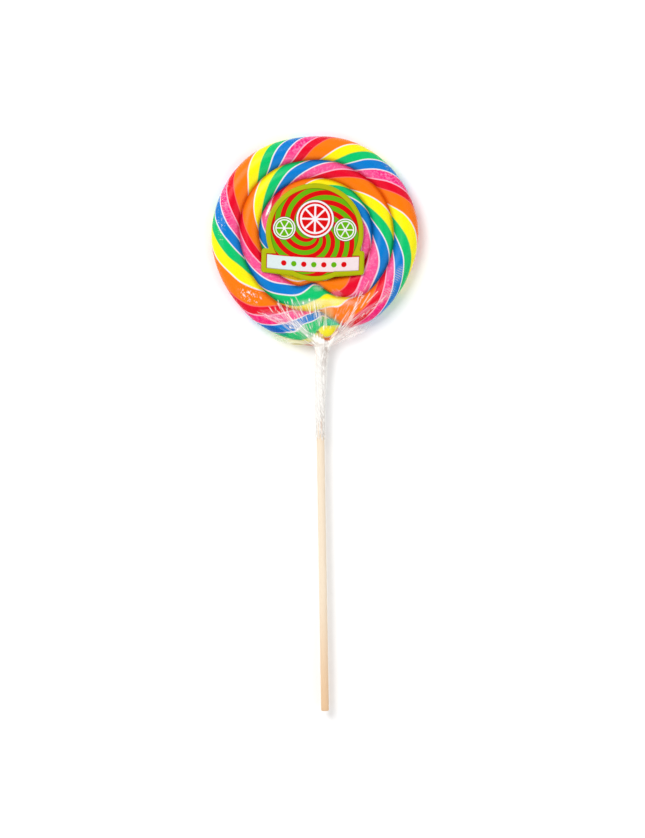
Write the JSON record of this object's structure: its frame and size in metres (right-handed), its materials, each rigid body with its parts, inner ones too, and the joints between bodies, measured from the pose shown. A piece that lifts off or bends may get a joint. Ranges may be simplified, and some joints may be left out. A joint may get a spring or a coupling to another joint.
{
  "type": "swirl lollipop",
  "caption": "Large round lollipop: a twisted rope of striped hard candy coiled flat on a wooden stick, in clear film gathered round the stick, with a die-cut paper label.",
  "frame": {"origin": "middle of the coil, on the plane that the lollipop lies on", "axes": "+Z out of the labelled side, +Y away from the stick's free end, along the stick; +X to the right seen from +Z with the stick pointing down"},
  "size_m": [0.1034, 0.2873, 0.0112],
  "materials": {
    "candy": "glossy boiled sugar in stripes of orange, yellow, green, blue, pink and red, parted by thin white lines",
    "stick": "plain pale birch dowel",
    "film": "thin clear crinkled film",
    "label": "smooth printed paper"
  },
  "bodies": {
    "root": {"candy": "candy", "stick": "stick", "film": "film", "label": "label"}
  },
  "joints": []
}
